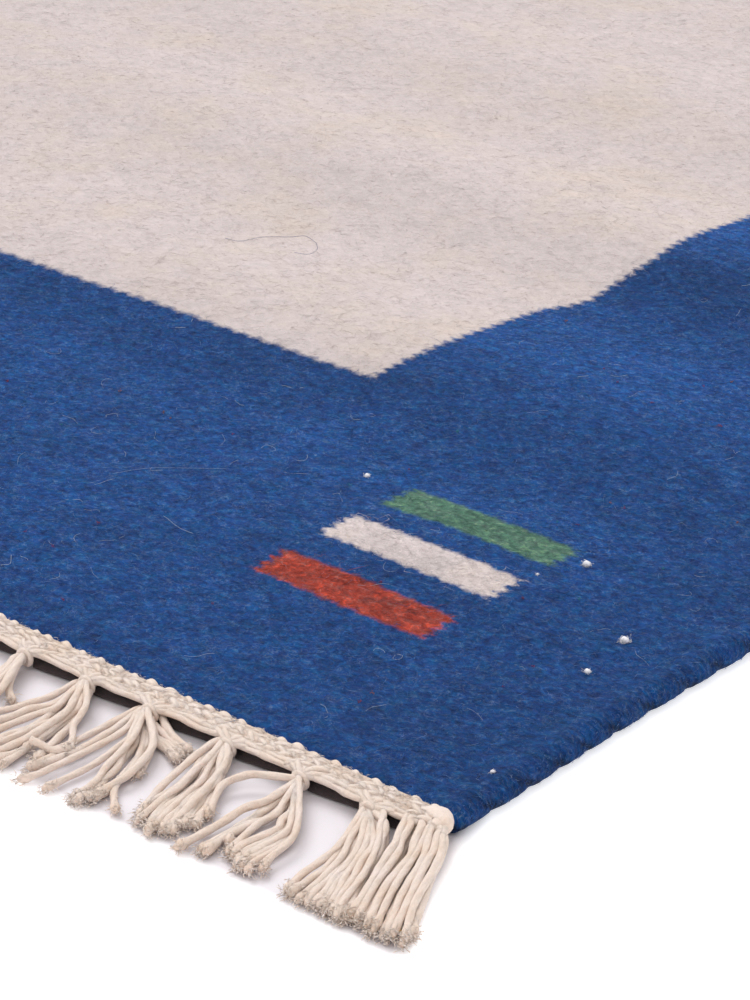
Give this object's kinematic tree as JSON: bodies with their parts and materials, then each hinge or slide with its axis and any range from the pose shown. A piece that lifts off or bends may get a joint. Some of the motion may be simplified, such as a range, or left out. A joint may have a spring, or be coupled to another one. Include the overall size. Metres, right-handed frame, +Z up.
{
  "type": "kilim",
  "caption": "Flat-woven wool rug with a plain border round a pale field, a twined cotton band and knotted fringe at each end.",
  "frame": {"origin": "on the surface that the rug lies on, under the middle of the rug", "axes": "+X along the fringed ends, +Y along the length, +Z up from the rug's face"},
  "size_m": [1.2368, 1.89, 0.0089],
  "materials": {
    "wool_cloth": "felted flat-woven wool, blue border and cream field",
    "cotton_heading": "twined undyed cotton cord",
    "cotton_fringe": "plied undyed cotton warp ends, knotted and frayed"
  },
  "bodies": {
    "root": {"woven_cloth": "wool_cloth", "heading_near": "cotton_heading", "heading_far": "cotton_heading", "fringe_near": "cotton_fringe", "fringe_far": "cotton_fringe"}
  },
  "joints": []
}
